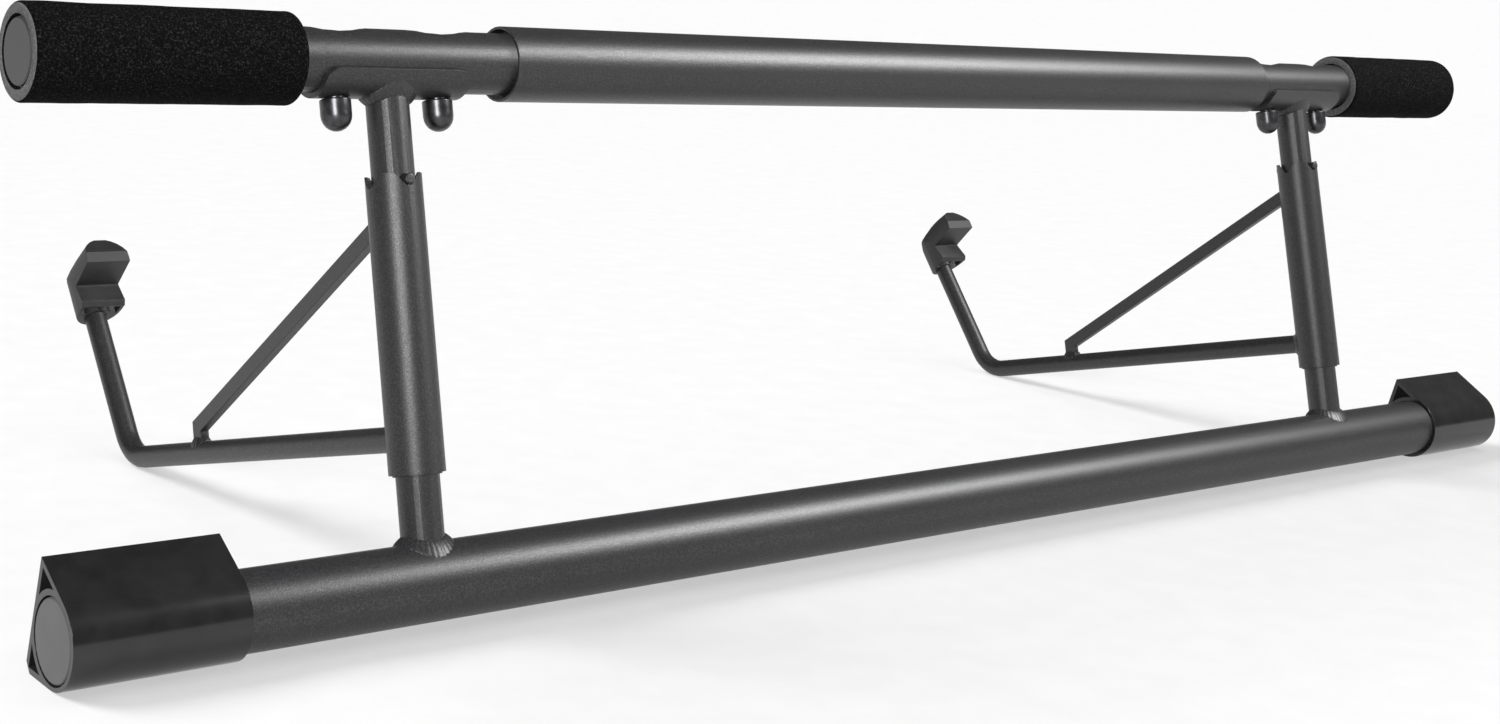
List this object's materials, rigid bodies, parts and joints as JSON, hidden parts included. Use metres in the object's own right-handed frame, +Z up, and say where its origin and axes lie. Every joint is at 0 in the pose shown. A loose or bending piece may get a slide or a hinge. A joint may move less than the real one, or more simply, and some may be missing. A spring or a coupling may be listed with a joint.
{
  "type": "doorway pull-up bar",
  "caption": "Doorway pull-up bar: padded handle tube over a lower brace tube with door bumpers, and swinging rod arms with plastic hook shoes.",
  "frame": {"origin": "on the floor, at the middle of the bar's footprint", "axes": "+X along the bar, +Y from the bar towards its hooks, +Z up with the bar standing on its bumpers and on the bends of its arms"},
  "size_m": [1.02, 0.3864, 0.263],
  "materials": {
    "powder_coat": "satin powder coat with a fine metallic speckle",
    "dark_hardware": "dark plated",
    "foam": "matt closed-cell foam",
    "bumper_plastic": "gloss",
    "plug_plastic": "satin",
    "shoe_plastic": "matt",
    "liner_plastic": "satin"
  },
  "bodies": {
    "frame": {"brace_tube": "powder_coat", "handle_tube": "powder_coat", "centre_sleeve": "powder_coat", "post_left": "powder_coat", "post_right": "powder_coat", "saddle_left": "powder_coat", "saddle_right": "powder_coat", "lock_pin_left": "dark_hardware", "lock_pin_right": "dark_hardware", "saddle_bolt_inner_left": "dark_hardware", "saddle_bolt_inner_right": "dark_hardware", "saddle_bolt_outer_left": "dark_hardware", "saddle_bolt_outer_right": "dark_hardware", "cap_nut_inner_left": "dark_hardware", "cap_nut_inner_right": "dark_hardware", "cap_nut_outer_left": "dark_hardware", "cap_nut_outer_right": "dark_hardware", "foam_grip_left": "foam", "foam_grip_right": "foam", "brace_plug_left": "plug_plastic", "brace_plug_right": "plug_plastic", "handle_plug_left": "plug_plastic", "handle_plug_right": "plug_plastic", "sleeve_spacer_left": "liner_plastic", "sleeve_spacer_right": "liner_plastic"},
    "liners_left": {"sleeve_liner_lower_left": "liner_plastic", "sleeve_liner_upper_left": "liner_plastic"},
    "arm_left": {"arm_sleeve_left": "powder_coat", "hook_rod_left": "powder_coat", "arm_stay_left": "powder_coat", "hook_shoe_left": "shoe_plastic"},
    "bumper_left": {"door_bumper_left": "bumper_plastic"},
    "liners_right": {"sleeve_liner_lower_right": "liner_plastic", "sleeve_liner_upper_right": "liner_plastic"},
    "arm_right": {"arm_sleeve_right": "powder_coat", "hook_rod_right": "powder_coat", "arm_stay_right": "powder_coat", "hook_shoe_right": "shoe_plastic"},
    "bumper_right": {"door_bumper_right": "bumper_plastic"}
  },
  "joints": [
    {"name": "drop_left", "type": "slide", "parent": "frame", "child": "liners_left", "axis": [0, -0.2688, -0.9632], "range_m": [0, 0.0242]},
    {"name": "swing_left", "type": "hinge", "parent": "liners_left", "child": "arm_left", "pos_m": [-0.3405, -0.15645, 0.08058], "axis": [0, -0.2688, -0.9632], "range_deg": [0, 90]},
    {"name": "bumper_turn_left", "type": "hinge", "parent": "frame", "child": "bumper_left", "pos_m": [-0.4721, -0.17341, 0.0198], "axis": [1, 0, 0], "continuous": true},
    {"name": "drop_right", "type": "slide", "parent": "frame", "child": "liners_right", "axis": [0, -0.2688, -0.9632], "range_m": [0, 0.0242]},
    {"name": "swing_right", "type": "hinge", "parent": "liners_right", "child": "arm_right", "pos_m": [0.3405, -0.15645, 0.08058], "axis": [0, 0.2688, 0.9632], "range_deg": [0, 90]},
    {"name": "bumper_turn_right", "type": "hinge", "parent": "frame", "child": "bumper_right", "pos_m": [0.4721, -0.17341, 0.0198], "axis": [1, 0, 0], "continuous": true}
  ],
  "couplings": [
    {"joint": "drop_left", "follows": "swing_left", "m_per_rad": 0.0153},
    {"joint": "drop_right", "follows": "swing_right", "m_per_rad": 0.0153}
  ]
}
